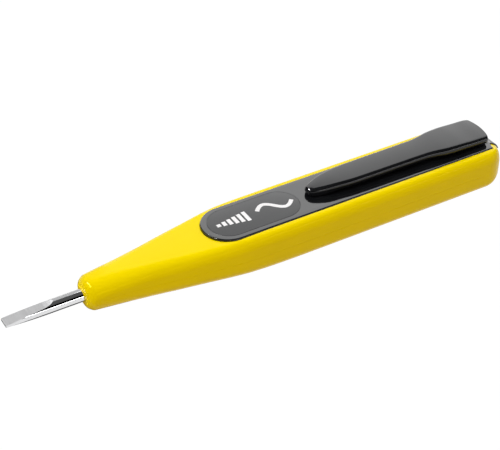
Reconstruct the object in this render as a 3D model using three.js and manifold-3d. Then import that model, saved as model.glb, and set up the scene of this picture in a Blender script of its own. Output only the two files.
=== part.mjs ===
// Non-contact voltage tester pen with a flat screwdriver blade, in millimetres, +Z up.
//
// The pen lies on its flat underside with the blade pointing along -X. Sizes along the pen are
// given as stations: distances in X from the blade's tip. Heights are given from the blade's axis,
// which is also the plane where the two yellow shells part. The last group moves both to the
// part's own origin, on the underside below the middle of the pen.

import * as THREE from 'three';
import { mergeVertices } from 'three/addons/utils/BufferGeometryUtils.js';
import Module from 'manifold-3d';

const wasm = await Module();
wasm.setup();

// ---- Driving dimensions ----

const LENGTH = 132.2;          // blade tip to rear end
const UNDERSIDE = 5.3;         // blade axis down to the flat underside
const GAP = 0.3;               // clearance between neighbouring pieces
const WALL = 1.3;              // yellow shell wall
const SIDE = 20;               // reach of the cutting bodies, wider than the pen

// Sections of the grip, front to rear: half width, height above and depth below the axis, then the
// radii of the shoulder, of the side wall below the shoulder and of the lower corner.
const STATIONS = [
  { x: 18.7, half: 3.95, top: 3.95, bottom: 3.9, shoulder: 3.8, side: 3.8, corner: 3.7 },
  { x: 26, half: 4.5, top: 4.45, bottom: 4.25, shoulder: 3.5, side: 3.6, corner: 3.5 },
  { x: 33, half: 5.25, top: 4.6, bottom: 4.35, shoulder: 2.7, side: 3.8, corner: 3.1 },
  { x: 40, half: 6.4, top: 4.85, bottom: 4.4, shoulder: 2.3, side: 4.2, corner: 3 },
  { x: 47, half: 7.45, top: 5.1, bottom: 4.55, shoulder: 1.9, side: 4.6, corner: 3 },
  { x: 54, half: 8.4, top: 5.4, bottom: 4.8, shoulder: 1.5, side: 4.9, corner: 3 },
  { x: 58, half: 8.7, top: 5.53, bottom: 5, shoulder: 1.4, side: 5, corner: 3 },
  { x: 64, half: 8.8, top: 5.58, bottom: 5.22, shoulder: 1.4, side: 5, corner: 3 },
  { x: 72, half: 8.85, top: 5.58, bottom: UNDERSIDE, shoulder: 1.4, side: 5, corner: 3 },
  { x: LENGTH, half: 8.85, top: 5.58, bottom: UNDERSIDE, shoulder: 1.4, side: 5, corner: 3 },
];
const SHOULDER_TURN = THREE.MathUtils.degToRad(28); // slope at which the side wall meets the shoulder
const NOSE = STATIONS[0].x;
const NOSE_ROUND = 1.8;
const REAR_PLAN_ROUND = 6.7;   // rear end seen from above
const REAR_SIDE_ROUND = 5;     // rear end seen from the side
const REAR_SOFTENING = 0.6;    // how fast the shoulder opens towards the rear end

const CAVITY_FRONT = 44;
const CAVITY_REAR = 128.6;
const CAVITY_TOP = 3;

const SHANK_RADIUS = 1.5;
const BLADE_TIP_HALF = 0.25;
const FLAT = { end: 8.9, half: 0.97 }; // where each ground flat ends, and half the thickness there
const RUN_OUT = 13.5;          // radius of the curve by which a flat runs out into the shank
const BLADE_REAR = 41;
const WING = { from: 34, to: 38, half: 2.2, thickness: 0.8 };
const WING_POCKET_RADIUS = 2.7; // room for the wings behind the nose's bore
const GRINDING = { front: -5, width: 8, depth: 4 }; // reach of what is ground off each flat

const COVER = { front: 49.4, half: 6.5, rear: 129, underside: 4.4, top: 5.85, bow: 20 };
const LEDGE = 1.3;             // width of the step that the cover rests on
const TONGUE = { half: 4.3, proud: 0.35, depth: 0.85, lowest: 3.2, from: 127.6 };
const LABEL = { front: 51, rear: 74.6, half: 5.2, underside: 5.6, top: 5.82 };

const BOARD = { front: 47.4, rear: 110.8, half: 5.8, frontHalf: 3.2, underside: -2.4, top: -1.6 };
const PARTS_ON_BOARD = BOARD.top + GAP;

const CELL = { radius: 3.9, thickness: 3.6, height: 0.15 };
const CELL_STATIONS = [116.6, 120.5];
const LED = { x: 64, z: 0.2, radius: 1.5 };
const TOUCH = { radius: 2.2, stem: 1, inner: 128.25, seat: 131.1 };

// Stations and sizes of what the board carries.
const RESISTOR_STATIONS = [70, 73.5, 96.5, 99.2];
const CHIP = { from: 78, to: 86.7, half: 2, thickness: 1.45, legs: 7, pitch: 1.2 };
const CAPACITOR_STATION = 92.6;
const TRANSISTOR = { x: 103, radius: 2.2, height: 3.8 };
const SHEET = 0.4;             // sheet metal of the contacts and the square of a component's leg

// Sections of the pocket clip from its tip to its root: half width, height of the top and underside.
const CLIP_STATIONS = [
  { x: 77.1, half: 0.9, top: 7.35, bottom: 6.4 },
  { x: 77.7, half: 1.55, top: 7.75, bottom: 6.17 },
  { x: 79.5, half: 2.2, top: 8.15, bottom: 6.17 },
  { x: 81.5, half: 2.77, top: 8.42, bottom: 6.35 },
  { x: 84.5, half: 3.27, top: 8.6, bottom: 6.7 },
  { x: 89, half: 3.67, top: 8.65, bottom: 6.85 },
  { x: 109, half: 3.87, top: 8.65, bottom: 6.85 },
  { x: 112, half: 4.2, top: 8.67, bottom: 6.85 },
  { x: 115, half: 4.75, top: 8.7, bottom: 6.85 },
  { x: 119, half: 4.97, top: 8.65, bottom: 6.8 },
  { x: 123.5, half: 4.97, top: 8.4, bottom: 6.6 },
  { x: 126.8, half: 5.1, top: 8.3, bottom: 6.4 },
  { x: 128.6, half: 5, top: 8.15, bottom: 6.45 },
];
const CLIP_EDGE = 1;           // radius along the top edges
const CLIP_LOWER_EDGE = 0.3;
const CLIP_CROWN = 0.12;
const CLIP_END = { rear: 128.3, bow: 10 };
const CLIP_FOOT = { from: 118.5, to: 126.2, half: 2.8, top: 7.2 };

// ---- Materials ----

const yellowPlastic = () => new THREE.MeshStandardMaterial({ color: 0xf0d000, roughness: 0.3 });
const blackPlastic = () => new THREE.MeshStandardMaterial({ color: 0x1b1b1d, roughness: 0.25 });
const labelFilm = () => new THREE.MeshStandardMaterial({ color: 0x242427, roughness: 0.35 });
const steel = () => new THREE.MeshStandardMaterial({ color: 0xc9ccd0, roughness: 0.15, metalness: 1 });
const springSteel = () => new THREE.MeshStandardMaterial({ color: 0xb4b6ba, roughness: 0.3, metalness: 1 });
const boardGreen = () => new THREE.MeshStandardMaterial({ color: 0x1f6b3a, roughness: 0.5 });
const redPlastic = () => new THREE.MeshStandardMaterial({ color: 0xc41a14, roughness: 0.15 });
const clearPlastic = () => new THREE.MeshStandardMaterial({ color: 0xe9e9e4, roughness: 0.1 });
const tanCeramic = () => new THREE.MeshStandardMaterial({ color: 0xc8a878, roughness: 0.5 });

// ---- Solids ----

function toSolid(geometry) {
  const bare = geometry.index ? geometry.toNonIndexed() : geometry.clone();
  bare.deleteAttribute('normal');
  bare.deleteAttribute('uv');
  const merged = mergeVertices(bare, 1e-4);
  return new wasm.Manifold(new wasm.Mesh({
    numProp: 3,
    vertProperties: new Float32Array(merged.attributes.position.array),
    triVerts: new Uint32Array(merged.index.array),
  }));
}

function toGeometry(solid) {
  const mesh = solid.getMesh();
  const geometry = new THREE.BufferGeometry();
  geometry.setAttribute('position', new THREE.BufferAttribute(mesh.vertProperties, 3));
  geometry.setIndex(new THREE.BufferAttribute(mesh.triVerts, 1));
  geometry.computeVertexNormals();
  return geometry;
}

const join = (...solids) => solids.reduce((sum, solid) => sum.add(solid));
const cut = (solid, ...tools) => tools.reduce((rest, tool) => rest.subtract(tool), solid);

function box(x, y, z) {
  const geometry = new THREE.BoxGeometry(x[1] - x[0], y[1] - y[0], z[1] - z[0]);
  geometry.translate((x[0] + x[1]) / 2, (y[0] + y[1]) / 2, (z[0] + z[1]) / 2);
  return toSolid(geometry);
}

function rodX(from, to, radius, y = 0, z = 0, sides = 20) {
  const geometry = new THREE.CylinderGeometry(radius, radius, to - from, sides);
  geometry.rotateZ(Math.PI / 2);
  geometry.translate((from + to) / 2, y, z);
  return toSolid(geometry);
}

function rodY(from, to, radius, x, z, sides = 20) {
  const geometry = new THREE.CylinderGeometry(radius, radius, to - from, sides);
  geometry.translate(x, (from + to) / 2, z);
  return toSolid(geometry);
}

function rodZ(from, to, radius, x, y, sides = 12) {
  const geometry = new THREE.CylinderGeometry(radius, radius, to - from, sides);
  geometry.rotateX(Math.PI / 2);
  geometry.translate(x, y, (from + to) / 2);
  return toSolid(geometry);
}

// A round piece turned about the X axis: the profile is pairs of station and radius.
function turnedX(profile, y = 0, z = 0, sides = 24) {
  const points = profile.map(([station, radius]) => new THREE.Vector2(radius, station));
  const geometry = new THREE.LatheGeometry(points, sides);
  geometry.rotateZ(-Math.PI / 2);
  geometry.translate(0, y, z);
  return toSolid(geometry);
}

// A closed body through rings of points, which all run the same way round and stand along X.
function loft(rings) {
  const count = rings[0].length;
  const positions = rings.flat().flatMap((point) => [point.x, point.y, point.z]);
  const centres = [rings[0], rings[rings.length - 1]].map((ring) => {
    const sum = ring.reduce((total, point) => total.add(point), new THREE.Vector3());
    return sum.divideScalar(count);
  });
  centres.forEach((centre) => positions.push(centre.x, centre.y, centre.z));
  const index = [];
  for (let ring = 0; ring < rings.length - 1; ring += 1) {
    for (let side = 0; side < count; side += 1) {
      const here = ring * count + side;
      const next = ring * count + (side + 1) % count;
      index.push(here, next, here + count, next, next + count, here + count);
    }
  }
  const firstCentre = rings.length * count;
  const lastRing = (rings.length - 1) * count;
  for (let side = 0; side < count; side += 1) {
    const next = (side + 1) % count;
    index.push(firstCentre, next, side);
    index.push(firstCentre + 1, lastRing + side, lastRing + next);
  }
  const geometry = new THREE.BufferGeometry();
  geometry.setAttribute('position', new THREE.Float32BufferAttribute(positions, 3));
  geometry.setIndex(index);
  return toSolid(geometry);
}

const ARC_STEPS = 4;
function arc(centre, radius, from, to) {
  const points = [];
  for (let step = 0; step <= ARC_STEPS; step += 1) {
    const angle = from + (to - from) * step / ARC_STEPS;
    points.push([centre[0] + radius * Math.cos(angle), centre[1] + radius * Math.sin(angle)]);
  }
  return points;
}

// One section across the pen. The side wall stands upright at the axis, leans in with a large
// radius and turns over a tighter shoulder to the flat top; below, one radius rounds each corner.
function ringAt(x, { half, top, bottom, shoulder, side, corner }) {
  const width = side - (side - shoulder) * Math.cos(SHOULDER_TURN);
  const height = shoulder + (side - shoulder) * Math.sin(SHOULDER_TURN);
  const fit = Math.min(1, (half - 0.02) / width, (top - 0.02) / height);
  const shoulderCentre = [half - width * fit, top - shoulder * fit];
  const sideCentre = [half - side * fit, top - height * fit];
  const low = Math.min(corner, half - 0.02, bottom - 0.02);
  const right = [
    ...arc([half - low, low - bottom], low, -Math.PI / 2, 0),
    ...arc(sideCentre, side * fit, 0, SHOULDER_TURN),
    ...arc(shoulderCentre, shoulder * fit, SHOULDER_TURN, Math.PI / 2).slice(1),
  ];
  const left = right.map(([y, z]) => [-y, z]).reverse();
  return [...right, ...left].map(([y, z]) => new THREE.Vector3(x, y, z));
}

// ---- Outer form of the grip ----

function endInset(distance, radius) {
  const into = Math.max(0, radius - distance);
  return radius - Math.sqrt(Math.max(0, radius * radius - into * into));
}

function gripSection(x, grow = 0) {
  const after = Math.max(1, STATIONS.findIndex((station) => station.x >= x));
  const a = STATIONS[after - 1];
  const b = STATIONS[after];
  const share = THREE.MathUtils.clamp((x - a.x) / (b.x - a.x), 0, 1);
  const mix = (key) => THREE.MathUtils.lerp(a[key], b[key], share);
  const rearDistance = LENGTH + grow - x;
  const planInset = endInset(rearDistance, REAR_PLAN_ROUND + grow);
  const sideInset = endInset(rearDistance, REAR_SIDE_ROUND + grow);
  const noseInset = endInset(x - NOSE, NOSE_ROUND);
  const half = mix('half') + grow - planInset - noseInset;
  const top = mix('top') + grow - sideInset - noseInset;
  const bottom = mix('bottom') + grow - sideInset - noseInset;
  const softer = grow + REAR_SOFTENING * sideInset;
  return {
    half,
    top,
    bottom,
    shoulder: mix('shoulder') + softer,
    side: mix('side') + softer,
    corner: mix('corner') + grow,
  };
}

const REAR_RINGS = 9;
const REAR_LOFT_FROM = 100;     // start of a loft that is only needed round the rear end
function gripLoft(grow = 0, from = NOSE) {
  const stations = [];
  if (from === NOSE) {
    for (let step = 0; step < 4; step += 1) {
      stations.push(NOSE + NOSE_ROUND * (1 - Math.cos(step * Math.PI / 6)));
    }
  } else {
    stations.push(from);
  }
  stations.push(...STATIONS.slice(1, -1).map(({ x }) => x).filter((x) => x > from));
  const rearRadius = REAR_PLAN_ROUND + grow;
  for (let step = 0; step <= REAR_RINGS; step += 1) {
    const angle = step / REAR_RINGS * Math.PI / 2;
    stations.push(LENGTH + grow - rearRadius * (1 - Math.sin(angle)));
  }
  return loft(stations.map((x) => ringAt(x, gripSection(x, grow))));
}

function cavityLoft(grow = 0) {
  const middle = STATIONS.filter(({ x }) => x > CAVITY_FRONT && x < CAVITY_REAR).map(({ x }) => x);
  const stations = [CAVITY_FRONT, ...middle, LENGTH - REAR_PLAN_ROUND, 127, CAVITY_REAR];
  return loft(stations.map((x) => {
    const outer = gripSection(x);
    return ringAt(x, {
      half: outer.half - WALL + grow,
      top: Math.min(outer.top - WALL, CAVITY_TOP) + grow,
      bottom: outer.bottom - WALL + 0.1 + grow,
      shoulder: 0.6,
      side: 0.6,
      corner: 1.9,
    });
  }));
}

// ---- Outline of the battery cover, which is also its recess and its ledge ----

function coverOutline(grow) {
  const half = COVER.half + grow;
  const bow = COVER.bow + grow;
  const bowAngle = Math.asin(half / bow);
  const shape = new THREE.Shape();
  shape.absarc(COVER.front + COVER.half, 0, half, Math.PI / 2, 3 * Math.PI / 2, false);
  shape.absarc(COVER.rear - COVER.bow, 0, bow, -bowAngle, bowAngle, false);
  return shape;
}

function plate(shape, from, to, bevel = 0) {
  const geometry = new THREE.ExtrudeGeometry(shape, {
    depth: to - from - 2 * bevel,
    bevelEnabled: bevel > 0,
    bevelThickness: bevel,
    bevelSize: bevel,
    bevelOffset: -bevel,
    bevelSegments: 1,
    curveSegments: 10,
  });
  geometry.translate(0, 0, from + bevel);
  return toSolid(geometry);
}

// ---- Yellow shells ----

const PIN_PLACES = [[50, 5], [50, -5], [112.6, 6.4], [112.6, -6.4]];
const PIN_RADIUS = 0.6;
const BOSS_RADIUS = 1.2;
const BOARD_RIBS = [54, 90];    // cross ribs that hold the board off the floor
const BAY_RIB = 114.6;          // cross rib in front of the cells
const BAY_RAILS = { from: 116, to: 125, inner: 4.4, outer: 5.2, top: -1.6 };
const BELOW = -6;               // deeper than the shell's floor
const grip = gripLoft();
const cavity = cavityLoft();
const insideWalls = cavityLoft(0.4);
const bladeBore = rodX(NOSE - 1, WING.from, SHANK_RADIUS + GAP);
const bladePocket = rodX(WING.from - 2 * GAP, CAVITY_FRONT + 1, WING_POCKET_RADIUS);
const touchBore = join(
  rodX(CAVITY_REAR - 1, LENGTH + 1, TOUCH.stem + GAP, 0, 0, 16),
  rodX(LENGTH - 1.4, LENGTH + 1, TOUCH.radius + GAP, 0, 0),
);
const ledWindow = rodY(LED.radius, 12, LED.radius + GAP + 0.1, LED.x, LED.z);
const hollows = [cavity, bladeBore, bladePocket, touchBore, ledWindow];

function lowerShell() {
  const half = grip.intersect(box([0, LENGTH + 1], [-SIDE, SIDE], [-SIDE, -GAP / 2]));
  const boardRibs = BOARD_RIBS.map((x) => box([x, x + 1], [-SIDE, SIDE], [BELOW, BOARD.underside - GAP]));
  const bayRib = box([BAY_RIB, BAY_RIB + 0.8], [-SIDE, SIDE], [BELOW, -GAP / 2]);
  const rails = [1, -1].map((side) => box(
    [BAY_RAILS.from, BAY_RAILS.to],
    [side * BAY_RAILS.inner, side * BAY_RAILS.outer].sort((a, b) => a - b),
    [BELOW, BAY_RAILS.top],
  ));
  const ribs = [...boardRibs, bayRib, ...rails].map((rib) => rib.intersect(insideWalls));
  const pins = PIN_PLACES.map(([x, y]) => rodZ(-3.6, 1.6, PIN_RADIUS, x, y));
  const stripNotch = box([BAY_RIB - 1, BAY_RIB + 2], [4, 5.1], [BAY_RAILS.top, 1]);
  return cut(join(cut(half, ...hollows), ...ribs, ...pins), stripNotch);
}

function upperShell() {
  const half = grip.intersect(box([0, LENGTH + 1], [-SIDE, SIDE], [GAP / 2, SIDE]));
  const bosses = PIN_PLACES.map(([x, y]) => rodZ(GAP / 2, CAVITY_TOP + 0.3, BOSS_RADIUS, x, y));
  const sockets = PIN_PLACES.map(([x, y]) => rodZ(-1, 2, PIN_RADIUS + GAP, x, y));
  const recess = plate(coverOutline(GAP), COVER.underside - GAP, SIDE);
  const slot = plate(coverOutline(-LEDGE), CAVITY_TOP - 1, SIDE);
  const tongueBlock = box(
    [TONGUE.from, LENGTH + 2],
    [-TONGUE.half - GAP, TONGUE.half + GAP],
    [TONGUE.lowest - GAP, SIDE],
  );
  const tongueRecess = tongueBlock.subtract(gripLoft(-TONGUE.depth - GAP, REAR_LOFT_FROM));
  return cut(join(cut(half, ...hollows), ...bosses), ...sockets, recess, slot, tongueRecess);
}

// ---- Black battery cover ----

function stadium(front, rear, half) {
  const shape = new THREE.Shape();
  shape.absarc(front + half, 0, half, Math.PI / 2, 3 * Math.PI / 2, false);
  shape.absarc(rear - half, 0, half, -Math.PI / 2, Math.PI / 2, false);
  return shape;
}

function coverStrip() {
  const strip = plate(coverOutline(0), COVER.underside, COVER.top, 0.3);
  const tongueBlock = box([TONGUE.from, LENGTH + 2], [-TONGUE.half, TONGUE.half], [TONGUE.lowest, SIDE]);
  const tongueOutside = gripLoft(TONGUE.proud, REAR_LOFT_FROM);
  const tongueSkin = tongueOutside.subtract(gripLoft(-TONGUE.depth, REAR_LOFT_FROM));
  const tongue = tongueBlock.intersect(tongueSkin);
  const labelPocket = plate(
    stadium(LABEL.front - GAP, LABEL.rear + GAP, LABEL.half + GAP),
    LABEL.underside - GAP,
    COVER.top + 1,
  );
  const lugs = [[70, 4.6], [70, -4.9], [105, 4.6], [105, -4.9]].map(([x, y]) => (
    box([x, x + 4], [y, y + GAP], [2.4, COVER.underside + 0.4])
  ));
  return cut(join(strip, tongue, ...lugs), labelPocket);
}

const coverLabel = () => plate(stadium(LABEL.front, LABEL.rear, LABEL.half), LABEL.underside, LABEL.top);

// ---- Pocket clip: a crowned leaf on a foot ----

function clipRing({ x, half, top, bottom }) {
  const edge = Math.min(CLIP_EDGE, half * 0.8, (top - bottom) * 0.55);
  const low = Math.min(CLIP_LOWER_EDGE, half * 0.3, (top - bottom) * 0.3);
  const crown = CLIP_CROWN * Math.min(1, half / CLIP_EDGE / 3);
  const right = [
    [half - low, bottom],
    [half, bottom + low],
    ...arc([half - edge, top - edge], edge, 0, Math.PI / 2),
    [(half - edge) / 2, top + crown * 0.75],
  ];
  const left = right.map(([y, z]) => [-y, z]).reverse();
  return [...right, [0, top + crown], ...left].map(([y, z]) => new THREE.Vector3(x, y, z));
}

function pocketClip() {
  const leaf = loft(CLIP_STATIONS.map(clipRing));
  const plan = new THREE.Shape();
  const bowAngle = Math.asin(SIDE / 2 / CLIP_END.bow);
  plan.absarc(CLIP_END.rear - CLIP_END.bow, 0, CLIP_END.bow, -bowAngle, bowAngle, false);
  plan.lineTo(COVER.front, SIDE / 2);
  plan.lineTo(COVER.front, -SIDE / 2);
  const foot = box(
    [CLIP_FOOT.from, CLIP_FOOT.to],
    [-CLIP_FOOT.half, CLIP_FOOT.half],
    [COVER.top + GAP, CLIP_FOOT.top],
  );
  return join(leaf.intersect(plate(plan, 0, SIDE)), foot);
}

// ---- Blade ----

function blade() {
  const shank = rodX(0, BLADE_REAR, SHANK_RADIUS, 0, 0, 24);
  const wings = box([WING.from, WING.to], [-WING.half, WING.half], [-WING.thickness, WING.thickness]);
  const slope = Math.atan((FLAT.half - BLADE_TIP_HALF) / FLAT.end);
  const profile = new THREE.Shape();
  profile.moveTo(GRINDING.front, BLADE_TIP_HALF + GRINDING.front * Math.tan(slope));
  const centre = [FLAT.end - RUN_OUT * Math.sin(slope), FLAT.half + RUN_OUT * Math.cos(slope)];
  profile.absarc(...centre, RUN_OUT, slope - Math.PI / 2, -Math.PI / 5, false);
  profile.lineTo(GRINDING.front, GRINDING.depth);
  const upper = plate(profile, -GRINDING.width / 2, GRINDING.width / 2).rotate([90, 0, 0]);
  const grindings = [upper, upper.rotate([180, 0, 0])];
  return cut(join(shank, wings), ...grindings);
}

// ---- Springs ----

class Coil extends THREE.Curve {
  constructor({ from, to, turns, startRadius, endRadius }) {
    super();
    Object.assign(this, { from, to, turns, startRadius, endRadius });
  }

  getPoint(share, target = new THREE.Vector3()) {
    const angle = share * this.turns * 2 * Math.PI;
    const radius = THREE.MathUtils.lerp(this.startRadius, this.endRadius, share);
    const x = THREE.MathUtils.lerp(this.from, this.to, share);
    return target.set(x, radius * Math.cos(angle), radius * Math.sin(angle));
  }
}

function coilSpring(coil, wireRadius) {
  const section = new THREE.Shape().absarc(0, 0, wireRadius, 0, 2 * Math.PI);
  return toSolid(new THREE.ExtrudeGeometry(section, {
    steps: coil.turns * 14,
    curveSegments: 3,
    bevelEnabled: false,
    extrudePath: new Coil(coil),
  }));
}

const bladeSpring = () => coilSpring(
  { from: BLADE_REAR + 0.6, to: 46.1, turns: 4, startRadius: 1.2, endRadius: 1.2 },
  0.2,
);
const cellSpring = () => coilSpring(
  { from: 124.65, to: 127.3, turns: 3, startRadius: 1.5, endRadius: 2.9 },
  0.22,
);

// ---- Contacts ----

const bladeContact = () => join(
  box([46.6, 46.6 + SHEET], [-1.6, 1.6], [-1.3, 1.5]),
  box([46.6, 50], [-1.2, 1.2], [PARTS_ON_BOARD, PARTS_ON_BOARD + SHEET]),
);

const cellPlusContact = () => join(
  box([115.7, 116], [-3.2, 3.2], [-3, 3]),
  turnedX([[115.9, 0], [115.9, 1.4], [116.25, 0.7], [116.25, 0]], 0, CELL.height, 12),
);

const MINUS_PLATE = [127.6, 127.95];
const LEAD = { inner: 4.35, low: -1.2, front: 109.5 };
function cellMinusStrip() {
  const outer = LEAD.inner + SHEET;
  const height = [LEAD.low, LEAD.low + SHEET];
  return join(
    box(MINUS_PLATE, [-3.6, 3.6], [-3, 2.4]),
    box(MINUS_PLATE, [3, outer], height),
    box([LEAD.front, MINUS_PLATE[1]], [LEAD.inner, outer], height),
  );
}

const touchContact = () => turnedX([
  [TOUCH.inner, 0],
  [TOUCH.inner, TOUCH.stem],
  [TOUCH.seat, TOUCH.stem],
  [TOUCH.seat, TOUCH.radius],
  [LENGTH - 0.4, TOUCH.radius],
  [LENGTH - 0.1, TOUCH.radius * 0.75],
  [LENGTH, TOUCH.radius * 0.4],
  [LENGTH, 0],
]);

// ---- Circuit board and what it carries ----

function circuitBoard() {
  const side = [
    [BOARD.front, BOARD.frontHalf],
    [52.5, BOARD.frontHalf],
    [55, BOARD.half],
    [BOARD.rear, BOARD.half],
  ].map(([x, y]) => new THREE.Vector2(x, y));
  const otherSide = side.map(({ x, y }) => new THREE.Vector2(x, -y)).reverse();
  return plate(new THREE.Shape([...side, ...otherSide]), BOARD.underside, BOARD.top);
}

function inverterChip() {
  const low = PARTS_ON_BOARD + 0.15;
  const body = box([CHIP.from, CHIP.to], [-CHIP.half, CHIP.half], [low, low + CHIP.thickness]);
  const legs = [];
  for (let leg = 0; leg < CHIP.legs; leg += 1) {
    const x = CHIP.from + 0.5 + leg * CHIP.pitch;
    legs.push(box([x, x + SHEET], [-3, 3], [PARTS_ON_BOARD, PARTS_ON_BOARD + SHEET]));
  }
  return join(body, ...legs);
}

// Half of a resistor's profile: distance from its middle and radius of its capped body.
const RESISTOR_END = [[1.1, 0.8], [1.5, 0.9], [1.9, 0.7], [1.9, 0]];
function resistor(x) {
  const height = PARTS_ON_BOARD + 1;
  const otherEnd = RESISTOR_END.map(([along, radius]) => [-along, radius]).reverse();
  const body = turnedX([...otherEnd, ...RESISTOR_END], 0, 0, 12)
    .rotate([0, 0, 90])
    .translate([x, 0, height]);
  const across = [x - SHEET / 2, x + SHEET / 2];
  const wire = box(across, [-3.2, 3.2], [height - SHEET / 2, height + SHEET / 2]);
  const legs = [3, -3.2].map((y) => box(across, [y, y + 0.2], [PARTS_ON_BOARD, height]));
  return join(body, wire, ...legs);
}

function discCapacitor() {
  const profile = [[-0.8, 0], [-0.8, 1.3], [-0.3, 2], [0.3, 2], [0.8, 1.3], [0.8, 0]];
  const disc = turnedX(profile, 0, 0, 16).translate([CAPACITOR_STATION, 0, PARTS_ON_BOARD + 2.2]);
  const across = [CAPACITOR_STATION - 0.15, CAPACITOR_STATION + 0.15];
  const legs = [1, -1.3].map((y) => box(across, [y, y + 0.3], [PARTS_ON_BOARD, PARTS_ON_BOARD + 2]));
  return join(disc, ...legs);
}

function transistor() {
  const flatFace = new THREE.Shape();
  flatFace.absarc(TRANSISTOR.x, 0, TRANSISTOR.radius, -2.3, 2.3, false);
  const low = PARTS_ON_BOARD + 0.8;
  const body = plate(flatFace, low, low + TRANSISTOR.height);
  const across = [TRANSISTOR.x - SHEET / 2, TRANSISTOR.x + SHEET / 2];
  const legs = [-1.2, 0, 1.2].map((y) => (
    box(across, [y - SHEET / 2, y + SHEET / 2], [PARTS_ON_BOARD, low + 0.2])
  ));
  return join(body, ...legs);
}

function redLed() {
  const dome = turnedX([[3.2, 0], [3.2, 1.5], [5.4, 1.5], [6.1, 1.2], [6.6, 0.6], [6.7, 0]], 0, 0, 16)
    .rotate([0, 0, 90])
    .translate([LED.x, 0, LED.z]);
  const legs = [-0.9, 0.5].map((x) => (
    box([LED.x + x, LED.x + x + SHEET], [1.8, 3.5], [LED.z - SHEET / 2, LED.z + SHEET / 2])
  ));
  const feet = [-0.9, 0.5].map((x) => (
    box([LED.x + x, LED.x + x + SHEET], [1.8, 1.8 + SHEET], [PARTS_ON_BOARD, LED.z + SHEET / 2])
  ));
  return join(dome, ...legs, ...feet);
}

const ledLens = () => turnedX(
  [[7, 0], [7, LED.radius], [8.4, LED.radius], [8.65, 1], [8.72, 0.4], [8.72, 0]], 0, 0, 20,
).rotate([0, 0, 90]).translate([LED.x, 0, LED.z]);

const cell = (x) => turnedX([
  [x, 0],
  [x, 2.9],
  [x + 0.35, 3],
  [x + 0.35, CELL.radius],
  [x + CELL.thickness - 0.2, CELL.radius],
  [x + CELL.thickness, CELL.radius - 0.2],
  [x + CELL.thickness, 0],
], 0, CELL.height, 28);

// ---- Assembly ----

const group = new THREE.Group();
group.position.set(-LENGTH / 2, 0, UNDERSIDE);

function place(name, solid, material) {
  const mesh = new THREE.Mesh(toGeometry(solid), material);
  mesh.name = name;
  group.add(mesh);
}

place('lower_shell', lowerShell(), yellowPlastic());
place('upper_shell', upperShell(), yellowPlastic());
place('cover_strip', coverStrip(), blackPlastic());
place('cover_label', coverLabel(), labelFilm());
place('pocket_clip', pocketClip(), blackPlastic());
place('blade', blade(), steel());
place('blade_spring', bladeSpring(), springSteel());
place('blade_contact', bladeContact(), springSteel());
place('circuit_board', circuitBoard(), boardGreen());
place('inverter_chip', inverterChip(), blackPlastic());
RESISTOR_STATIONS.forEach((x, number) => {
  place(`resistor_${number + 1}`, resistor(x), tanCeramic());
});
place('disc_capacitor', discCapacitor(), tanCeramic());
place('transistor', transistor(), blackPlastic());
place('red_led', redLed(), redPlastic());
place('led_lens', ledLens(), clearPlastic());
CELL_STATIONS.forEach((x, number) => place(`button_cell_${number + 1}`, cell(x), steel()));
place('cell_plus_contact', cellPlusContact(), springSteel());
place('cell_spring', cellSpring(), springSteel());
place('cell_minus_strip', cellMinusStrip(), springSteel());
place('touch_contact', touchContact(), steel());

export default group;
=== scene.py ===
"""Looks of the voltage tester pen: moulded yellow shells, black battery cover and clip, ground blade."""
import math

import bmesh
import bpy
import numpy as np
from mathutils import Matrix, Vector


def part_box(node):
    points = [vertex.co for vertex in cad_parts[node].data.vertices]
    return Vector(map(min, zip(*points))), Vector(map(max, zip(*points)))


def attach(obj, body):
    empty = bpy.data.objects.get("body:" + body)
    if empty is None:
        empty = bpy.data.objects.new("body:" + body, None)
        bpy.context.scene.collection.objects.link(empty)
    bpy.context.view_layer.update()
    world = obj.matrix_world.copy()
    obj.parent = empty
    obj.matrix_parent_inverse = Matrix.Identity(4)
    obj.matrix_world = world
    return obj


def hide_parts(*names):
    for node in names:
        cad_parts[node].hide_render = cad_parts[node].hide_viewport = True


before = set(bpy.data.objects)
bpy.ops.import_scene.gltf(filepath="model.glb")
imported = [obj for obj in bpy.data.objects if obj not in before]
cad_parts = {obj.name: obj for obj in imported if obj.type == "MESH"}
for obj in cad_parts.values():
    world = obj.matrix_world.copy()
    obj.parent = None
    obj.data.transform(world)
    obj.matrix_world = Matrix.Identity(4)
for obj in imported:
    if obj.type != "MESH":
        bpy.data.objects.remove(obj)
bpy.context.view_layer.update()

MM = 0.001

# ---- Sizes, in millimetres. Stations run along the pen from the blade's tip, heights from its axis ----

LENGTH = 132.2
SEAM = 0.012                   # half the gap between the two shells
WALL = 1.3
FIT = 0.1                      # gap round the cover in its recess
PIN_PLACES = ((50, 5), (50, -5), (112.6, 6.4), (112.6, -6.4))

# ribs on the floor of the bay, each as its reach along, across and in height
RIBS = (
    ((54, 55), (-9, 9), (-6, -2.7)),            # two under the board
    ((90, 91), (-9, 9), (-6, -2.7)),
    ((114.6, 115.4), (-9, 9), (-6, -SEAM)),     # in front of the cells
    ((116, 125), (4.4, 5.2), (-6, -1.6)),       # one on each side of the cells
    ((116, 125), (-5.2, -4.4), (-6, -1.6)),
)

# turned holes along the axis, each as its radius and its two ends
HOLES = {
    "pocket": (2.7, 33.4, 45),
    "stem_hole": (1.2, 127.6, 133.2),
    "button_hole": (2.32, 130.8, 133.2),
}

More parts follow.
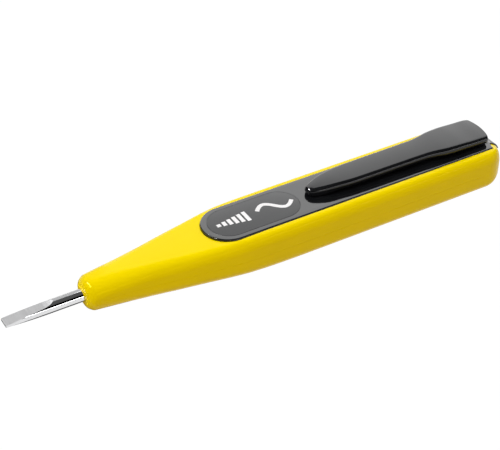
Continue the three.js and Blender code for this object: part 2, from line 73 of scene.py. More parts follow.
# station, half width, height above the axis, depth below it, radii of shoulder, side wall and lower corner
STATIONS = np.array([
    (18.7, 3.95, 3.95, 3.9, 3.8, 3.8, 3.7),
    (26, 4.5, 4.45, 4.25, 3.5, 3.6, 3.5),
    (33, 5.25, 4.6, 4.35, 2.7, 3.8, 3.1),
    (40, 6.4, 4.85, 4.4, 2.3, 4.2, 3),
    (47, 7.45, 5.1, 4.55, 1.9, 4.6, 3),
    (54, 8.4, 5.4, 4.8, 1.5, 4.9, 3),
    (58, 8.7, 5.53, 5, 1.4, 5, 3),
    (64, 8.8, 5.58, 5.22, 1.4, 5, 3),
    (72, 8.85, 5.58, 5.3, 1.4, 5, 3),
    (LENGTH, 8.85, 5.58, 5.3, 1.4, 5, 3),
])
SHOULDER_TURN = math.radians(28)
NOSE = STATIONS[0, 0]
NOSE_ROUND = 1.8
REAR_PLAN_ROUND = 6.7
REAR_SIDE_ROUND = 5.0
REAR_SOFTENING = 0.6

COVER = {"front": 49.4, "half": 6.5, "rear": 129.0, "underside": 4.4, "top": 5.85, "bow": 20.0}
COVER_FILLET = 0.35
LEDGE = 1.3                    # width of the ledge that the cover rests on
TONGUE = {"half": 4.3, "proud": 0.35, "depth": 0.85, "lowest": 3.2, "from": 127.6}
LABEL = {"front": 51.0, "rear": 74.6, "half": 5.2, "depth": 0.22}

SHANK_RADIUS = 1.5
TIP_HALF = 0.25
FLAT_END, FLAT_HALF = 8.9, 0.97
RUN_OUT = 13.5                 # radius of the curve by which a flat runs out into the shank
ROUND_FROM = 11.75             # station from which the shank is fully round
BLADE_REAR = 41.0
BORE_FIT = 0.05                # gap round the shank in its bore
WINDOW_AT = (64, 0, 0.2)       # where the window's axis crosses the pen's middle plane
ALONG, ACROSS, UP = (1, 0, 0), (0, 1, 0), (0, 0, 1)

# station, half width, top, underside of the pocket clip
CLIP_STATIONS = np.array([
    (77.1, 0.6, 7.2, 6.7),
    (77.3, 1.0, 7.5, 6.4),
    (77.8, 1.5, 7.86, 6.12),
    (78.6, 1.9, 8.06, 6.0),
    (79.5, 2.2, 8.2, 5.98),
    (81.5, 2.77, 8.42, 6.25),
    (84.5, 3.27, 8.6, 6.7),
    (89, 3.67, 8.65, 6.85),
    (109, 3.87, 8.65, 6.85),
    (112, 4.2, 8.67, 6.85),
    (115, 4.75, 8.7, 6.85),
    (119, 4.97, 8.65, 6.8),
    (123.5, 4.97, 8.4, 6.6),
    (126.4, 4.95, 8.3, 6.4),
    (127.5, 4.7, 8.22, 6.42),
    (128.6, 4.1, 8.15, 6.45),
])
CLIP_EDGE = 1.0
CLIP_LOWER_EDGE = 0.3
CLIP_CROWN = 0.12
CLIP_REAR, CLIP_BOW = 128.2, 15.0
FOOT_GAP = 0.12                # between the clip's foot and the cover

tip_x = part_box("blade")[0][0]
axis_z = (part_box("blade")[0][2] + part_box("blade")[1][2]) / 2


def at(station, y, height):
    """A place in the row frame, in metres, from millimetres along, across and above the blade's axis."""
    return Vector((tip_x + station * MM, y * MM, axis_z + height * MM))


# ---- Curves through stations ----

def smooth(stations, column, x):
    """Monotone cubic through one column of a station table, so that the form has no kinks or overshoot."""
    xs, ys = stations[:, 0], stations[:, column]
    slopes = np.diff(ys) / np.diff(xs)
    tangents = np.zeros(len(xs))
    for i in range(1, len(xs) - 1):
        if slopes[i - 1] * slopes[i] > 0:
            tangents[i] = 2 * slopes[i - 1] * slopes[i] / (slopes[i - 1] + slopes[i])
    tangents[0], tangents[-1] = slopes[0], slopes[-1]
    i = int(np.clip(np.searchsorted(xs, x) - 1, 0, len(xs) - 2))
    width = xs[i + 1] - xs[i]
    t = min(max((x - xs[i]) / width, 0), 1)
    return (
        ys[i] * (1 + 2 * t) * (1 - t) ** 2
        + tangents[i] * width * t * (1 - t) ** 2
        + ys[i + 1] * t * t * (3 - 2 * t)
        + tangents[i + 1] * width * t * t * (t - 1)
    )


def end_inset(distance, radius):
    """How far a rounded end draws the surface in, at some distance from that end."""
    into = max(0, radius - distance)
    return radius - math.sqrt(max(0, radius * radius - into * into))


def grip_section(x, grow=0.0):
    """Half width, height, depth and the three radii of the grip at a station, rounded at both ends."""
    half, top, bottom, shoulder, side, corner = (smooth(STATIONS, c, x) for c in range(1, 7))
    rear = LENGTH + grow - x
    plan_inset = end_inset(rear, REAR_PLAN_ROUND + grow)
    side_inset = end_inset(rear, REAR_SIDE_ROUND + grow)
    nose_inset = end_inset(x - NOSE, NOSE_ROUND)
    half += grow - plan_inset - nose_inset
    top += grow - side_inset - nose_inset
    bottom += grow - side_inset - nose_inset
    softer = grow + REAR_SOFTENING * side_inset
    corner = min(corner + grow, half - 0.02, bottom - 0.02)
    return half, top, bottom, shoulder + softer, side + softer, corner


def arc(centre, radius, start, end, steps):
    return [
        (centre[0] + radius * math.cos(a), centre[1] + radius * math.sin(a))
        for a in np.linspace(start, end, steps + 1)
    ]


def ring(section, steps=10):
    """Round one section, as (across, height) pairs: lower corner, leaning side wall, tighter shoulder."""
    half, top, bottom, shoulder, side, corner = section
    width = side - (side - shoulder) * math.cos(SHOULDER_TURN)
    height = shoulder + (side - shoulder) * math.sin(SHOULDER_TURN)
    fit = min(1, (half - 0.02) / width, (top - 0.02) / height)
    right = arc((half - corner, corner - bottom), corner, -math.pi / 2, 0, steps)
    right += arc((half - side * fit, top - height * fit), side * fit, 0, SHOULDER_TURN, steps)
    centre = (half - width * fit, top - shoulder * fit)
    right += arc(centre, shoulder * fit, SHOULDER_TURN, math.pi / 2, steps)[1:]
    return right + [(-y, z) for y, z in reversed(right)]


def grip_stations(grow=0.0, start=NOSE):
    nose = [NOSE + NOSE_ROUND * (1 - math.cos(k * math.pi / 24)) for k in range(12)]
    along = list(np.arange(NOSE + NOSE_ROUND, 72, 1.2)) + list(np.arange(72, 124, 4))
    radius = REAR_PLAN_ROUND + grow
    rear = [LENGTH + grow - radius * (1 - math.sin(k * math.pi / 48)) for k in range(25)]
    return [x for x in nose + along if start <= x < rear[0] - 0.1] + rear


# ---- Meshes ----

def object_from(name, verts, faces, smooth_angle=35):
    mesh = bpy.data.meshes.new(name)
    mesh.from_pydata([tuple(v) for v in verts], [], faces)
    bm = bmesh.new()
    bm.from_mesh(mesh)
    bmesh.ops.remove_doubles(bm, verts=bm.verts, dist=1e-7)
    bmesh.ops.recalc_face_normals(bm, faces=bm.faces)
    bm.to_mesh(mesh)
    bm.free()
    obj = bpy.data.objects.new(name, mesh)
    bpy.context.collection.objects.link(obj)
    shade(obj, smooth_angle)
    return obj


def shade(obj, smooth_angle=35):
    mesh = obj.data
    mesh.polygons.foreach_set("use_smooth", [True] * len(mesh.polygons))
    mesh.set_sharp_from_angle(angle=math.radians(smooth_angle))
    mesh.update()


def loft(name, rings, closed=True, smooth_angle=35):
    """A closed body through rings of row-frame points; each ring has the same number of points."""
    count = len(rings[0])
    verts = [p for r in rings for p in r]
    faces = []
    for r in range(len(rings) - 1):
        for s in range(count):
            a, b = r * count + s, r * count + (s + 1) % count
            faces.append((a, b, b + count, a + count))
    if closed:
        faces.append(tuple(range(count))[::-1])
        last = (len(rings) - 1) * count
        faces.append(tuple(range(last, last + count)))
    return object_from(name, verts, faces, smooth_angle)


def grip_loft(name, grow=0.0, start=NOSE):
    rings = []
    for x in grip_stations(grow, start):
        rings.append([at(x, y, z) for y, z in ring(grip_section(x, grow))])
    return loft(name, rings)


def block(name, x, y, z):
    corners = [at(x[i], y[j], z[k]) for i in (0, 1) for j in (0, 1) for k in (0, 1)]
    faces = [(0, 1, 3, 2), (4, 6, 7, 5), (0, 4, 5, 1), (2, 3, 7, 6), (0, 2, 6, 4), (1, 5, 7, 3)]
    return object_from(name, corners, faces)


def turned(name, profile, origin, axis, sides=64, smooth_angle=35):
    """A piece turned about an axis through origin: profile is (along, radius) pairs in millimetres."""
    axis = Vector(axis).normalized()
    side = axis.orthogonal().normalized()
    other = axis.cross(side)
    rings = []
    for along, radius in profile:
        r = []
        for k in range(sides):
            a = 2 * math.pi * k / sides
            r.append(origin + (axis * along + (side * math.cos(a) + other * math.sin(a)) * radius) * MM)
        rings.append(r)
    return loft(name, rings, True, smooth_angle)


def combine(target, tool, operation="DIFFERENCE"):
    """Applies a boolean and throws the tool away."""
    modifier = target.modifiers.new("cut", "BOOLEAN")
    modifier.operation = operation
    modifier.solver = "MANIFOLD"
    modifier.object = tool
    deps = bpy.context.evaluated_depsgraph_get()
    result = bpy.data.meshes.new_from_object(target.evaluated_get(deps))
    target.modifiers.clear()
    old = target.data
    target.data = result
    bpy.data.meshes.remove(old)
    bpy.data.objects.remove(tool)
    return target


def clean(obj, smooth_angle=35):
    bm = bmesh.new()
    bm.from_mesh(obj.data)
    bmesh.ops.remove_doubles(bm, verts=bm.verts, dist=0.004 * MM)
    bmesh.ops.dissolve_degenerate(bm, edges=bm.edges, dist=0.002 * MM)
    bm.to_mesh(obj.data)
    bm.free()
    shade(obj, smooth_angle)
    return obj


def soften(obj, width, angle=50, segments=3):
    """Rounds the sharp edges of a moulded or machined piece."""
    modifier = obj.modifiers.new("soft_edges", "BEVEL")
    modifier.width = width * MM
    modifier.segments = segments
    modifier.limit_method = "ANGLE"
    modifier.angle_limit = math.radians(angle)
    modifier.harden_normals = True
    modifier.use_clamp_overlap = True
    return obj


def outline_cover(grow=0.0, steps=28):
    """Plan of the battery cover, of its recess and of its ledge, as (station, across) pairs."""
    half = COVER["half"] + grow
    bow = COVER["bow"] + grow
    angle = math.asin(half / bow)
    centre = COVER["front"] + COVER["half"]
    front = [
        (centre + half * math.cos(a), half * math.sin(a))
        for a in np.linspace(math.pi / 2, 3 * math.pi / 2, 2 * steps)
    ]
    middle = COVER["rear"] - COVER["bow"]
    rear = [(middle + bow * math.cos(a), bow * math.sin(a)) for a in np.linspace(-angle, angle, steps)]
    return front + rear


def outline_stadium(front, rear, half, steps=24):
    left = [
        (front + half + half * math.cos(a), half * math.sin(a))
        for a in np.linspace(math.pi / 2, 3 * math.pi / 2, steps)
    ]
    right = [
        (rear - half + half * math.cos(a), half * math.sin(a))
        for a in np.linspace(-math.pi / 2, math.pi / 2, steps)
    ]
    return left + right


def prism(name, outline, bottom, top):
    rings = [[at(x, y, z) for x, y in outline] for z in (bottom, top)]
    return loft(name, rings)


# ---- Materials ----

NOISE_LOW, NOISE_HIGH = 0.3, 0.7      # the range that most of a noise's values lie in
PLASTIC_GRAIN = 2600
METAL_SHADE = 0.9                     # darkest part of a metal against its own colour


def principled(name):
    material = bpy.data.materials.new(name)
    material.use_nodes = True
    tree = material.node_tree
    shader = next(n for n in tree.nodes if n.type == "BSDF_PRINCIPLED")
    return material, tree, shader


def noise(tree, scale, detail=3.0, roughness=0.5, stretch=(1, 1, 1)):
    where = tree.nodes.new("ShaderNodeTexCoord")
    mapping = tree.nodes.new("ShaderNodeMapping")
    mapping.inputs["Scale"].default_value = stretch
    texture = tree.nodes.new("ShaderNodeTexNoise")
    texture.inputs["Scale"].default_value = scale
    texture.inputs["Detail"].default_value = detail
    texture.inputs["Roughness"].default_value = roughness
    tree.links.new(where.outputs["Object"], mapping.inputs["Vector"])
    tree.links.new(mapping.outputs["Vector"], texture.inputs["Vector"])
    return texture.outputs["Fac"]


def ramp(tree, factor, low, high):
    """A colour that follows a noise, from low to high."""
    node = tree.nodes.new("ShaderNodeValToRGB")
    first, last = node.color_ramp.elements
    first.position, first.color = NOISE_LOW, (*low, 1)
    last.position, last.color = NOISE_HIGH, (*high, 1)
    tree.links.new(factor, node.inputs["Fac"])
    return node.outputs["Color"]


def spread(tree, factor, low, high):
    """A number that follows a noise, from low to high."""
    node = tree.nodes.new("ShaderNodeMapRange")
    node.inputs["From Min"].default_value = NOISE_LOW
    node.inputs["From Max"].default_value = NOISE_HIGH
    node.inputs["To Min"].default_value = low
    node.inputs["To Max"].default_value = high
    tree.links.new(factor, node.inputs["Value"])
    return node.outputs["Result"]


def bump(tree, shader, height, strength, distance):
    node = tree.nodes.new("ShaderNodeBump")
    node.inputs["Strength"].default_value = strength
    node.inputs["Distance"].default_value = distance * MM
    tree.links.new(height, node.inputs["Height"])
    tree.links.new(node.outputs["Normal"], shader.inputs["Normal"])


def plastic(name, low, high, rough_low, rough_high, level=0.5, tint=(1, 1, 1, 1), relief=0.004):
    """A moulded plastic: level and tint set its reflection, relief the depth of its grain in mm."""
    material, tree, shader = principled(name)
    shader.inputs["Specular IOR Level"].default_value = level
    shader.inputs["Specular Tint"].default_value = tint
    tree.links.new(ramp(tree, noise(tree, 140, 4), low, high), shader.inputs["Base Color"])
    tree.links.new(spread(tree, noise(tree, 420, 5, 0.6), rough_low, rough_high), shader.inputs["Roughness"])
    bump(tree, shader, noise(tree, PLASTIC_GRAIN, 2), 0.35, relief)
    return material


def metal(name, colour, rough_low, rough_high, stretch, scale, relief=0.003):
    """A metal whose brushing is a noise of the given scale, stretched along the strokes."""
    material, tree, shader = principled(name)
    shader.inputs["Metallic"].default_value = 1.0
    darker = tuple(c * METAL_SHADE for c in colour)
    tree.links.new(ramp(tree, noise(tree, 300, 4), darker, colour), shader.inputs["Base Color"])
    brushed = noise(tree, scale, 5, 0.7, stretch)
    tree.links.new(spread(tree, brushed, rough_low, rough_high), shader.inputs["Roughness"])
    bump(tree, shader, brushed, 0.3, relief)
    return material


YELLOW_SHEEN = (1, 0.9, 0.05, 1)
yellow = plastic(
    "yellow_plastic", (0.93, 0.665, 0.0), (0.96, 0.685, 0.0), 0.12, 0.17, 0.1, YELLOW_SHEEN, 0.0008
)
black = plastic(
    "black_plastic", (0.005, 0.005, 0.006), (0.009, 0.009, 0.010), 0.05, 0.1, 0.72, relief=0.0015
)
clip_black = plastic(
    "clip_plastic", (0.006, 0.006, 0.007), (0.011, 0.011, 0.012), 0.07, 0.13, 0.38, relief=0.002
)
film = plastic("label_film", (0.010, 0.010, 0.011), (0.014, 0.014, 0.015), 0.16, 0.22, 0.42, relief=0.002)
white_ink = plastic("white_ink", (0.78, 0.72, 0.72), (0.86, 0.8, 0.8), 0.4, 0.5, relief=0.002)
chrome = metal("chromed_steel", (0.76, 0.76, 0.77), 0.05, 0.1, (0.05, 1, 1), 2400, 0.001)
ground = metal("ground_steel", (0.56, 0.56, 0.565), 0.3, 0.42, (1, 0.03, 0.2), 5200, 0.003)
nickel = metal("nickel_plate", (0.66, 0.65, 0.63), 0.18, 0.3, (1, 1, 1), 1200)
cell_can = metal("cell_can", (0.74, 0.74, 0.75), 0.2, 0.3, (1, 1, 1), 1500)
board_green = plastic("board_green", (0.010, 0.085, 0.03), (0.02, 0.13, 0.05), 0.3, 0.45)
epoxy = plastic("component_epoxy", (0.012, 0.012, 0.012), (0.025, 0.025, 0.025), 0.5, 0.65)
tan = plastic("component_tan", (0.42, 0.24, 0.10), (0.52, 0.31, 0.14), 0.35, 0.5)
led_red = plastic("led_red", (0.45, 0.008, 0.005), (0.6, 0.015, 0.008), 0.08, 0.14)


def clear(name, colour):
    material, tree, shader = principled(name)
    shader.inputs["Transmission Weight"].default_value = 0.85
    shader.inputs["IOR"].default_value = 1.49
    tree.links.new(ramp(tree, noise(tree, 200, 3), colour, (0.95, 0.95, 0.93)), shader.inputs["Base Color"])
    tree.links.new(spread(tree, noise(tree, 600, 3), 0.06, 0.14), shader.inputs["Roughness"])
    return material


lens_clear = clear("lens_clear", (0.88, 0.88, 0.86))


def dress(obj, *materials):
    obj.data.materials.clear()
    for material in materials:
        obj.data.materials.append(material)
    return obj


def add_piece(obj, body, slot_name, *nodes):
    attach(obj, body)
    if nodes:
        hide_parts(*nodes)
    return obj


# ---- Yellow shells ----

def cavity(name, grow=0.0):
    xs = [44] + list(np.arange(46, 126, 2.0)) + [127, 128.6]
    rings = []
    for x in xs:
        half, top, bottom = grip_section(x)[:3]
        section = (half - WALL + grow, min(top - WALL, 3) + grow, bottom - WALL + 0.1 + grow, 0.6, 0.6, 1.9)
        rings.append([at(x, y, z) for y, z in ring(section, 6)])
    return loft(name, rings)


def cut_hollows(shell):
    """Cuts the bay, the holes along the axis and the hole of the indicator window."""
    combine(shell, cavity("cavity"))
    holes = {"bore": (SHANK_RADIUS + BORE_FIT, 17, 34), **HOLES}
    for name, (radius, start, end) in holes.items():
        combine(shell, turned(name, [(start, radius), (end, radius)], at(0, 0, 0), ALONG))
    combine(shell, turned("window", [(1.5, 1.62), (12, 1.62)], at(*WINDOW_AT), ACROSS))


def lower_shell():
    shell = grip_loft("lower_shell_skin")
    combine(shell, block("above", (-5, 140), (-20, 20), (-SEAM, 20)))
    cut_hollows(shell)
    ribs = block("rib", *RIBS[0])
    for reach in RIBS[1:]:
        combine(ribs, block("rib_more", *reach), "UNION")
    combine(ribs, cavity("inside", 0.4), "INTERSECT")
    combine(shell, ribs, "UNION")
    combine(shell, block("notch", (113.6, 116.6), (4, 5.1), (-1.6, 1)))
    for x, y in PIN_PLACES:
        pin = turned("pin", [(-3.6, 0.6), (1.4, 0.6), (1.6, 0.4)], at(x, y, 0), UP, 24)
        combine(shell, pin, "UNION")
    return clean(shell)


def upper_shell():
    shell = grip_loft("upper_shell_skin")
    combine(shell, block("below", (-5, 140), (-20, 20), (-20, SEAM)))
    cut_hollows(shell)
    for x, y in PIN_PLACES:
        combine(shell, turned("boss", [(SEAM, 1.2), (3.3, 1.2)], at(x, y, 0), UP, 24), "UNION")
    for x, y in PIN_PLACES:
        combine(shell, turned("socket", [(-1, 0.65), (2, 0.65)], at(x, y, 0), UP, 24))
    combine(shell, prism("recess", outline_cover(FIT), COVER["underside"] - FIT, 12))
    combine(shell, prism("slot", outline_cover(-LEDGE), 2, 12))
    reach = TONGUE["half"] + FIT
    tongue = block("tongue", (TONGUE["from"], LENGTH + 2), (-reach, reach), (TONGUE["lowest"] - FIT, 12))
    combine(tongue, grip_loft("inner", -TONGUE["depth"] - FIT, 100))
    combine(shell, tongue)
    return clean(shell)


upper = dress(soften(upper_shell(), 0.05), yellow)
lower = dress(soften(lower_shell(), 0.28), yellow)
add_piece(upper, "grip", "yellow_plastic", "upper_shell")
add_piece(lower, "grip", "yellow_plastic", "lower_shell")

# ---- Black battery cover with its rear tongue ----

def filleted_plate(name, outline_at, bottom, top, fillet, steps=6):
    """A plate whose upper edge is rounded: outline_at(inset) gives its plan drawn in by inset."""
    rings = [[at(x, y, bottom) for x, y in outline_at(0)]]
    for k in range(steps + 1):
        a = k / steps * math.pi / 2
        inset = fillet * (1 - math.cos(a))
        z = top - fillet * (1 - math.sin(a))
        rings.append([at(x, y, z) for x, y in outline_at(inset)])
    return loft(name, rings)


def cover_strip():
    strip = filleted_plate(
        "cover_strip_skin",
        lambda inset: outline_cover(-inset),
        COVER["underside"],
        COVER["top"],
        COVER_FILLET,
    )
    pocket = outline_stadium(LABEL["front"] - 0.05, LABEL["rear"] + 0.05, LABEL["half"] + 0.05)
    combine(strip, prism("label_pocket", pocket, COVER["top"] - LABEL["depth"], 12))
    tongue = grip_loft("tongue", TONGUE["proud"], 100)
    combine(tongue, grip_loft("tongue_inner", -TONGUE["depth"], 100))
    band = block(
        "band", (TONGUE["from"], LENGTH + 2), (-TONGUE["half"], TONGUE["half"]), (TONGUE["lowest"], 12)
    )
    combine(tongue, band, "INTERSECT")
    combine(strip, tongue, "UNION")
    for x in (70, 105):
        for side in (4.6, -4.9):
            lug = block("lug", (x, x + 4), (side, side + 0.3), (2.4, COVER["underside"] + 0.4))
            combine(strip, lug, "UNION")
    return clean(strip, 32)


strip = dress(soften(cover_strip(), 0.07), black)
add_piece(strip, "cover", "black_plastic", "cover_strip")

label = filleted_plate(
    "label_panel",
    lambda inset: outline_stadium(LABEL["front"] + inset, LABEL["rear"] - inset, LABEL["half"] - inset),
    COVER["top"] - LABEL["depth"] + 0.02,
    COVER["top"] + 0.01,
    0.08,
    4,
)
dress(label, film)
add_piece(label, "cover", "label_film", "cover_label")

# ---- Printed marks: graded bars and a sine wave ----

INK = 0.015


def ink_shape(name, outline):
    top = COVER["top"] + 0.01
    return dress(prism(name, outline, top - 0.01, top + INK), white_ink)


def level_bars():
    """Six bars that grow along the pen, as a signal level is drawn."""
    bars = None
    for k in range(6):
        x = 53.0 + k * 1.45
        height = 0.5 + k * 0.27
        points = [(x, -height), (x + 0.95, -height), (x + 0.95, height), (x, height)]
        bar = ink_shape("bar", points)
        bars = bar if bars is None else combine(bars, bar, "UNION")
    bars.name = "print_level_bars"
    return bars


def sine_wave():
    """One period of a wave, drawn as a band of even width."""
    xs = np.linspace(63.8, 73.2, 80)
    phase = (xs - xs[0]) / (xs[-1] - xs[0]) * 2 * math.pi
    ys = 0.3 + 1.6 * np.sin(phase)
    slope = np.gradient(ys, xs)
    length = np.hypot(1, slope)
    half = 0.5
    upper_side = list(zip(xs - slope / length * half, ys + half / length))
    lower_side = list(zip(xs + slope / length * half, ys - half / length))
    return ink_shape("print_sine_wave", lower_side + upper_side[::-1])


for mark in (level_bars(), sine_wave()):
    add_piece(mark, "cover", "label_film")

# ---- Pocket clip ----

def clip_ring(x, across=8):
    half, top, bottom = (smooth(CLIP_STATIONS, c, x) for c in (1, 2, 3))
    edge = min(CLIP_EDGE, half * 0.8, (top - bottom) * 0.55)
    low = min(CLIP_LOWER_EDGE, half * 0.3, (top - bottom) * 0.3)
    crown = CLIP_CROWN * min(1, half / CLIP_EDGE / 3)
    right = arc((half - low, bottom + low), low, -math.pi / 2, 0, 4)
    right += arc((half - edge, top - edge), edge, 0, math.pi / 2, 9)
    for k in range(1, across):
        share = 1 - k / across
        right.append(((half - edge) * share, top + crown * (1 - share * share)))
    left = [(-y, z) for y, z in reversed(right)]
    return right + [(0, top + crown)] + left


def pocket_clip():
    first, last = CLIP_STATIONS[0, 0], CLIP_STATIONS[-1, 0]
    tip = first + (81 - first) * np.linspace(0, 1, 22) ** 1.6
    xs = list(tip) + list(np.arange(82, last, 0.75)) + [last]
    rings = [[at(x, y, z) for y, z in clip_ring(x)] for x in xs]
    leaf = loft("pocket_clip_leaf", rings, True, 50)
    bow = [
        (CLIP_REAR - CLIP_BOW * (1 - math.cos(a)), CLIP_BOW * math.sin(a))
        for a in np.linspace(-0.6, 0.6, 61)
    ]
    combine(leaf, prism("clip_plan", [(70, 10), (70, -10)] + bow, 0, 12), "INTERSECT")
    foot = filleted_plate(
        "clip_foot",
        lambda inset: [(118.5, -2.8), (126.2, -2.8), (126.2, 2.8), (118.5, 2.8)],
        COVER["top"] + FOOT_GAP, 7.2, 0.05, 2,
    )
    combine(leaf, foot, "UNION")
    return clean(leaf, 40)


clip = dress(soften(pocket_clip(), 0.25, 60, 4), clip_black)
add_piece(clip, "clip", "black_plastic", "pocket_clip")

# ---- Blade ----

def blade_half_thickness(x):
    """Half the thickness between the flats: even taper, then a curve out to the round shank."""
    slope = math.atan((FLAT_HALF - TIP_HALF) / FLAT_END)
    if x <= FLAT_END:
        return TIP_HALF + x * math.tan(slope)
    centre_x = FLAT_END - RUN_OUT * math.sin(slope)
    centre_z = FLAT_HALF + RUN_OUT * math.cos(slope)
    return centre_z - math.sqrt(max(0, RUN_OUT ** 2 - (x - centre_x) ** 2))


def blade():
    """A round shank with a flat ground on each side, which run together towards the tip."""
    flat_points, arc_points = 9, 41
    rings = []
    stations = [0, 0.12] + list(np.linspace(0.5, FLAT_END, 20)) + list(np.linspace(9.1, 11.65, 20))
    stations += [ROUND_FROM, 13, 16, 22, 30, 40.6, BLADE_REAR]
    for x in stations:
        radius = SHANK_RADIUS - (0.1 if x in (0, BLADE_REAR) else 0)
        t = min(blade_half_thickness(x), radius) if x < ROUND_FROM else radius
        reach = math.sqrt(max(radius * radius - t * t, 0))
        corner = math.asin(min(1, t / radius))
        points = [(y, t) for y in np.linspace(-reach, reach, flat_points)]
        points += [(radius * math.cos(a), radius * math.sin(a))
                   for a in np.linspace(corner, -corner, arc_points)[1:-1]]
        points += [(y, -t) for y in np.linspace(reach, -reach, flat_points)]
        points += [(-radius * math.cos(a), radius * math.sin(a))
                   for a in np.linspace(-corner, corner, arc_points)[1:-1]]
        rings.append([at(x, y, z) for y, z in points])
    return loft("blade_shank", rings, True, 12)


shank = blade()
combine(shank, block("blade_wings", (34, 38), (-2.2, 2.2), (-0.8, 0.8)), "UNION")
shade(shank, 12)
dress(shank, chrome, ground)
for face in shank.data.polygons:
    centre = face.center
    station = (centre.x - tip_x) / MM
    is_flat = abs(face.normal.z) > 0.9 and abs(face.normal.x) > 0.03
    if station < ROUND_FROM and is_flat or station < 0.2:
        face.material_index = 1
add_piece(shank, "grip", "chromed_steel", "blade")

# ---- Touch contact, indicator window, cells and springs ----

def dome(radius, low, high, steps=8):
    return [(low + (high - low) * math.sin(a), radius * math.cos(a)) for a in np.linspace(0, 1.45, steps)]


button = turned(
    "touch_button",
    [(128.25, 0.9), (131.0, 0.9), (131.0, 2.0), (131.15, 2.2)] + dome(2.2, 131.6, 132.2),
    at(0, 0, 0),
    ALONG,
)
dress(button, chrome)
add_piece(button, "grip", "chromed_steel", "touch_contact")

window_profile = [(7, 1.45), (7.1, 1.55)] + dome(1.55, 8.35, 8.74)
window = turned("indicator_window", window_profile, at(*WINDOW_AT), ACROSS)
dress(window, lens_clear)
add_piece(window, "grip", "lens_clear", "led_lens")

# a button cell's can from its small pole: the pole, the ring of its seal, then the rounded can
CELL_PROFILE = [
    (0, 2.7), (0.1, 2.9), (0.42, 3.0),
    (0.42, 3.35), (0.35, 3.45), (0.35, 3.8),
    (0.5, 3.9), (3.3, 3.9), (3.5, 3.8), (3.6, 3.6),
]
for number in (1, 2):
    low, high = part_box(f"button_cell_{number}")
    middle = Vector((low[0], (low[1] + high[1]) / 2, (low[2] + high[2]) / 2))
    can = turned(f"cell_can_{number}", CELL_PROFILE, middle, ALONG, 96)
    dress(can, cell_can)
    add_piece(can, "grip", "cell_steel", f"button_cell_{number}")


def coil(name, start, end, turns, radius_start, radius_end, wire):
    """A round wire wound along the pen, as a closed tube."""
    steps, sides = turns * 40, 12
    path = []
    for k in range(steps + 1):
        share = k / steps
        a = share * turns * 2 * math.pi
        radius = radius_start + (radius_end - radius_start) * share
        path.append(at(start + (end - start) * share, radius * math.cos(a), radius * math.sin(a)))
    rings = []
    for k, point in enumerate(path):
        ahead = path[min(k + 1, steps)] - path[max(k - 1, 0)]
        ahead.normalize()
        out = Vector((0, point.y, point.z - axis_z)).normalized()
        other = ahead.cross(out).normalized()
        out = other.cross(ahead)
        rings.append([
            point + (out * math.cos(a) + other * math.sin(a)) * wire * MM
            for a in np.linspace(0, 2 * math.pi, sides, endpoint=False)
        ])
    return loft(name, rings, True, 60)


blade_coil = dress(coil("blade_coil", 41.6, 46.1, 4, 1.2, 1.2, 0.2), nickel)
add_piece(blade_coil, "grip", "spring_steel", "blade_spring")
cell_coil = dress(coil("cell_coil", 124.65, 127.3, 3, 1.5, 2.9, 0.22), nickel)
add_piece(cell_coil, "grip", "spring_steel", "cell_spring")

NODE_MATERIALS = {
    "blade_contact": nickel,
    "cell_plus_contact": nickel,
    "cell_minus_strip": nickel,
    "circuit_board": board_green,
    "inverter_chip": epoxy,
    "transistor": epoxy,
    "disc_capacitor": tan,
    **{f"resistor_{number}": tan for number in range(1, 5)},
    "red_led": led_red,
}
for node, material in NODE_MATERIALS.items():
    dress(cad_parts[node], material)

# ---- Stage ----

FLOOR_LEVEL = -0.05 * MM        # a hair below the underside, so that the two faces never coincide
FLOOR_REACH = 1.5
floor_corners = [
    (x * FLOOR_REACH, y * FLOOR_REACH, FLOOR_LEVEL) for x, y in ((-1, -1), (1, -1), (1, 1), (-1, 1))
]
floor = object_from("floor", floor_corners, [(0, 1, 2, 3)])
floor_material, floor_tree, floor_shader = principled("pale_floor")
floor_shader.inputs["Base Color"].default_value = (0.02, 0.02, 0.02, 1)
floor_shader.inputs["Roughness"].default_value = 0.9
floor_shader.inputs["Specular IOR Level"].default_value = 0.0
floor_shader.inputs["Emission Color"].default_value = (1, 1, 1, 1)
floor_shader.inputs["Emission Strength"].default_value = 1.0
dress(floor, floor_material)
floor.visible_diffuse = False
floor.visible_shadow = False

world = bpy.data.worlds.new("studio")
bpy.context.scene.world = world
world.use_nodes = True
world.node_tree.nodes["Background"].inputs["Color"].default_value = (1, 0.92, 0.92, 1)
world.node_tree.nodes["Background"].inputs["Strength"].default_value = 0.32
world.cycles_visibility.glossy = False


def softbox(name, place, aim, size, radiance, colour=(1, 1, 1), diffuse=True, glossy=True):
    """A rectangular light that faces aim, its brightness given as radiance, whatever its size."""
    light = bpy.data.lights.new(name, "AREA")
    light.shape = "RECTANGLE"
    light.size, light.size_y = size
    light.energy = radiance * math.pi * size[0] * size[1]
    light.color = colour
    obj = bpy.data.objects.new(name, light)
    bpy.context.collection.objects.link(obj)
    obj.location = place
    obj.rotation_euler = (Vector(aim) - Vector(place)).to_track_quat("-Z", "Y").to_euler()
    obj.visible_camera = False
    obj.visible_diffuse = diffuse
    obj.visible_glossy = glossy


# ---- Camera and lights ----

AZIMUTH, ELEVATION, DISTANCE = math.radians(30.287), math.radians(37.485), 313.3
aim = at(61.75, 0, 2.88)
forward = Vector((
    math.sin(AZIMUTH) * math.cos(ELEVATION),
    math.cos(AZIMUTH) * math.cos(ELEVATION),
    -math.sin(ELEVATION),
))
camera_data = bpy.data.cameras.new("camera")
camera_data.lens = 96.7
camera_data.sensor_width = 36
camera = bpy.data.objects.new("camera", camera_data)
bpy.context.collection.objects.link(camera)
camera.location = aim - forward * DISTANCE * MM
camera.rotation_euler = forward.to_track_quat("-Z", "Y").to_euler()
bpy.context.scene.camera = camera

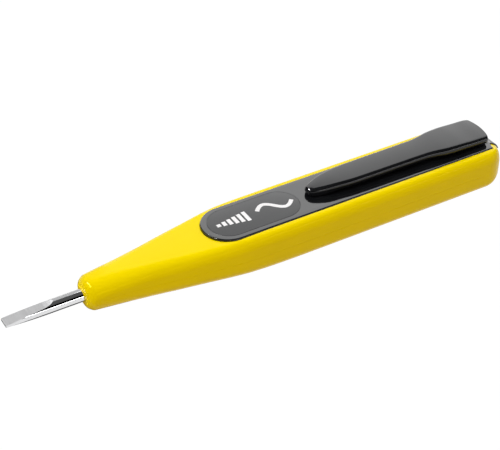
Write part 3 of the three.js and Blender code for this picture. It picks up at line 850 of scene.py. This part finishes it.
CENTRE = (0, 0, 0.01)
COOL = (1, 1.15, 1.15)
WARM = (1, 0.92, 0.92)
softbox("back_panel", (0.34, 0.58, 0.45), CENTRE, (1.5, 1.0), 2.4, diffuse=False)
softbox("back_fill", (0.3, 0.35, 0.62), CENTRE, (1.2, 0.9), 1.1, COOL, glossy=False)
softbox("front_fill", (-0.05, -0.5, 0.66), CENTRE, (0.4, 0.4), 2.2, glossy=False)
softbox("front_strip", (0.32, -0.73, 0.12), CENTRE, (1.2, 0.08), 6, diffuse=False)
softbox("key_light", (-0.44, -0.06, 0.67), CENTRE, (0.2, 0.2), 18, COOL, glossy=False)
softbox("side_panel", (-0.5, 0.12, 0.58), CENTRE, (0.55, 0.14), 90, diffuse=False)
softbox("floor_glow", (0, 0, -0.05), (0, 0, 1), (1.5, 1.5), 0.31, WARM, glossy=False)


def card(name, corners, brightness):
    """A studio card near the blade, which shows only in the polished metal; the dim one under the blade is
    painted shade on the floor.
    """
    obj = object_from(name, corners, [(0, 1, 2, 3)])
    material, _, shader = principled(name)
    shader.inputs["Base Color"].default_value = (0, 0, 0, 1)
    shader.inputs["Specular IOR Level"].default_value = 0
    shader.inputs["Emission Color"].default_value = (1, 1, 1, 1)
    shader.inputs["Emission Strength"].default_value = brightness
    dress(obj, material)
    obj.visible_camera = False
    obj.visible_diffuse = False
    obj.visible_shadow = False


CARD_FRONT, CARD_REAR = -6, 29
card("card_behind_blade", [
    at(CARD_FRONT, 18, 2), at(CARD_REAR, 18, 2), at(CARD_REAR, 18, 60), at(CARD_FRONT, 18, 60),
], 0.64)
card("card_above_blade", [
    at(CARD_FRONT, -60, 60), at(CARD_REAR + 30, -60, 60), at(CARD_REAR + 30, 18, 60), at(CARD_FRONT, 18, 60),
], 0.1)
# painted shade: a dim sheet on the floor under the blade stands in for the pen's shadow there, seen only in
# the metal
card("painted_floor_shade_under_blade", [
    at(CARD_FRONT, -3.2, -5.25), at(CARD_REAR, -3.2, -5.25),
    at(CARD_REAR, 18, -5.25), at(CARD_FRONT, 18, -5.25),
], 0.12)

bpy.context.scene.view_settings.view_transform = "Standard"
